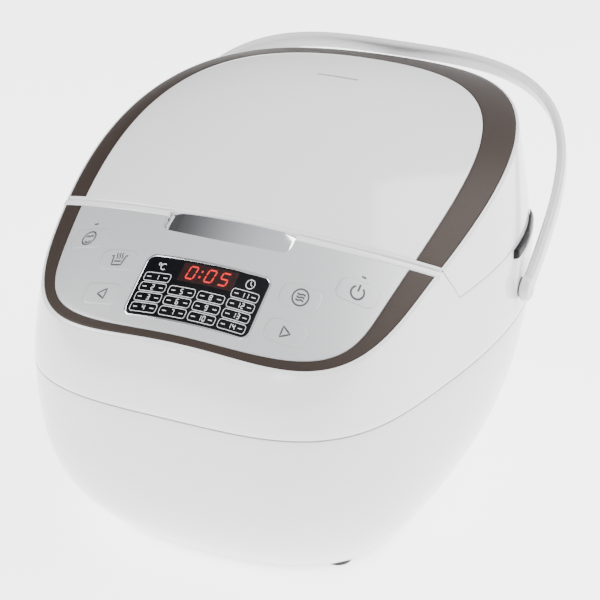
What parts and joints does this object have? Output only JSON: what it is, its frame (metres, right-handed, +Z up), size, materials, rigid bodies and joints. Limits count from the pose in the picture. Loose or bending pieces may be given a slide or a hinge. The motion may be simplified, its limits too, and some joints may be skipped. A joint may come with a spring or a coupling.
{
  "type": "multicooker",
  "caption": "Rounded white rice cooker with a sloping touch panel, a hinged domed lid with release button and a bail handle that folds back",
  "frame": {"origin": "on the table, below the middle of the box around the whole object", "axes": "+Z up, -Y towards the user and the control panel, +X to the user's right"},
  "size_m": [0.3054, 0.3667, 0.2519],
  "materials": {
    "white_gloss": "glossy white moulded plastic",
    "white_skirt": "white moulded plastic, semi-gloss",
    "brown_satin": "satin metallic brown lacquer with a fine flake",
    "silver_panel": "satin silver-grey lacquer on plastic, printed symbols",
    "bright_chrome": "bright chrome-plated plastic",
    "black_glass": "black-backed display glass, polished",
    "black_plastic": "glossy black plastic",
    "grey_plastic": "matte grey engineering plastic",
    "light_plastic": "matte light grey plastic",
    "handle_plastic": "semi-gloss light grey plastic",
    "feet_rubber": "soft matte rubber",
    "silicone": "translucent grey silicone",
    "steel": "bright zinc-plated steel",
    "tin_plate": "thin drawn sheet steel",
    "cast_aluminium": "cast aluminium, machined top",
    "pressed_aluminium": "pressed aluminium sheet",
    "pot_coating": "dark non-stick coating with a fine fleck",
    "element_sheath": "heat-darkened element sheath",
    "board_green": "green solder mask",
    "wire_sleeve": "fibreglass-sleeved wire"
  },
  "bodies": {
    "housing": {"lower_housing": "white_skirt", "upper_housing": "white_gloss", "base_plate": "grey_plastic", "rubber_feet": "feet_rubber", "base_screws": "steel", "power_inlet": "black_plastic", "inlet_pins": "steel", "cup_dock": "white_gloss", "hub_caps": "black_plastic", "deck": "white_gloss", "bay_front_wall": "white_gloss", "heat_shield": "tin_plate", "side_heater": "element_sheath", "heating_plate": "cast_aluminium", "heating_element": "element_sheath", "plate_studs": "steel", "inner_pot": "pot_coating", "sensor_spring": "steel", "sensor_socket": "grey_plastic", "thermal_fuse": "light_plastic", "power_board": "board_green", "mains_wires": "wire_sleeve", "control_panel": "silver_panel", "panel_band": "brown_satin", "panel_carrier": "light_plastic", "display_glass": "black_glass", "display_frame": "bright_chrome", "display_module": "light_plastic", "control_board": "board_green", "board_screws": "steel", "tact_switches": "black_plastic", "button_spring": "steel", "latch_pin": "steel", "latch_bracket": "steel", "hinge_bracket": "steel", "hinge_pin": "steel"},
    "lid": {"lid_shell": "white_gloss", "lid_band": "brown_satin", "lid_top_panel": "white_gloss", "lid_inner_cover": "light_plastic", "lid_catch": "steel", "steam_valve": "grey_plastic", "lid_heater": "element_sheath", "lid_thermistor": "pressed_aluminium", "inner_lid": "pressed_aluminium", "lid_gasket": "silicone", "lid_knob": "silicone", "hinge_arms": "steel"},
    "open_button": {"open_button": "bright_chrome"},
    "latch_hook": {"latch_hook": "grey_plastic"},
    "sensor_cap": {"sensor_cap": "pressed_aluminium"},
    "condensate_cup": {"condensate_cup": "white_gloss"},
    "pivot_bushes": {"pivot_bushes": "grey_plastic"},
    "handle": {"handle": "handle_plastic"},
    "key_cancel": {"key_cancel": "silver_panel"},
    "key_temperature": {"key_temperature": "silver_panel"},
    "key_hours": {"key_hours": "silver_panel"},
    "key_menu": {"key_menu": "silver_panel"},
    "key_minutes": {"key_minutes": "silver_panel"},
    "key_start": {"key_start": "silver_panel"}
  },
  "joints": [
    {"name": "lid_hinge", "type": "hinge", "parent": "housing", "child": "lid", "pos_m": [0, 0.166, 0.174], "axis": [-1, 0, 0], "range_deg": [0, 75]},
    {"name": "handle_push_back", "type": "hinge", "parent": "housing", "child": "pivot_bushes", "pos_m": [0, 0.0275, 0.1435], "axis": [-1, 0, 0], "range_deg": [0, 64]},
    {"name": "handle_swing", "type": "hinge", "parent": "pivot_bushes", "child": "handle", "pos_m": [0, 0.0275, 0.1435], "axis": [-1, 0, 0], "range_deg": [-58, 0]},
    {"name": "open_button_press", "type": "slide", "parent": "housing", "child": "open_button", "axis": [0, 0, -1], "range_m": [0, 0.002], "stiffness_N_per_m": 900, "springref_m": -0.002, "deforming": ["button_spring"]},
    {"name": "latch_hook_turn", "type": "hinge", "parent": "housing", "child": "latch_hook", "pos_m": [0, -0.104, 0.19597], "axis": [1, 0, 0], "range_deg": [-14.6, 0]},
    {"name": "sensor_cap_press", "type": "slide", "parent": "housing", "child": "sensor_cap", "axis": [0, 0, -1], "range_m": [0, 0.003], "stiffness_N_per_m": 250, "springref_m": -0.003, "deforming": ["sensor_spring"]},
    {"name": "condensate_cup_pull", "type": "slide", "parent": "housing", "child": "condensate_cup", "axis": [0, 1, 0], "range_m": [0, 0.03]},
    {"name": "key_cancel_press", "type": "slide", "parent": "housing", "child": "key_cancel", "axis": [0.2525, 0.474, -0.8435], "range_m": [0, 0.0008], "stiffness_N_per_m": 900, "springref_m": -0.0006},
    {"name": "key_temperature_press", "type": "slide", "parent": "housing", "child": "key_temperature", "axis": [0.1515, 0.5035, -0.8506], "range_m": [0, 0.0008], "stiffness_N_per_m": 900, "springref_m": -0.0006},
    {"name": "key_hours_press", "type": "slide", "parent": "housing", "child": "key_hours", "axis": [0.1534, 0.5346, -0.8311], "range_m": [0, 0.0008], "stiffness_N_per_m": 900, "springref_m": -0.0006},
    {"name": "key_menu_press", "type": "slide", "parent": "housing", "child": "key_menu", "axis": [-0.1515, 0.5035, -0.8506], "range_m": [0, 0.0008], "stiffness_N_per_m": 900, "springref_m": -0.0006},
    {"name": "key_minutes_press", "type": "slide", "parent": "housing", "child": "key_minutes", "axis": [-0.1534, 0.5346, -0.8311], "range_m": [0, 0.0008], "stiffness_N_per_m": 900, "springref_m": -0.0006},
    {"name": "key_start_press", "type": "slide", "parent": "housing", "child": "key_start", "axis": [-0.2525, 0.474, -0.8435], "range_m": [0, 0.0008], "stiffness_N_per_m": 900, "springref_m": -0.0006}
  ],
  "couplings": [
    {"joint": "handle_push_back", "follows": "lid_hinge", "ratio": 0.84},
    {"joint": "latch_hook_turn", "follows": "open_button_press", "rad_per_m": -125}
  ]
}
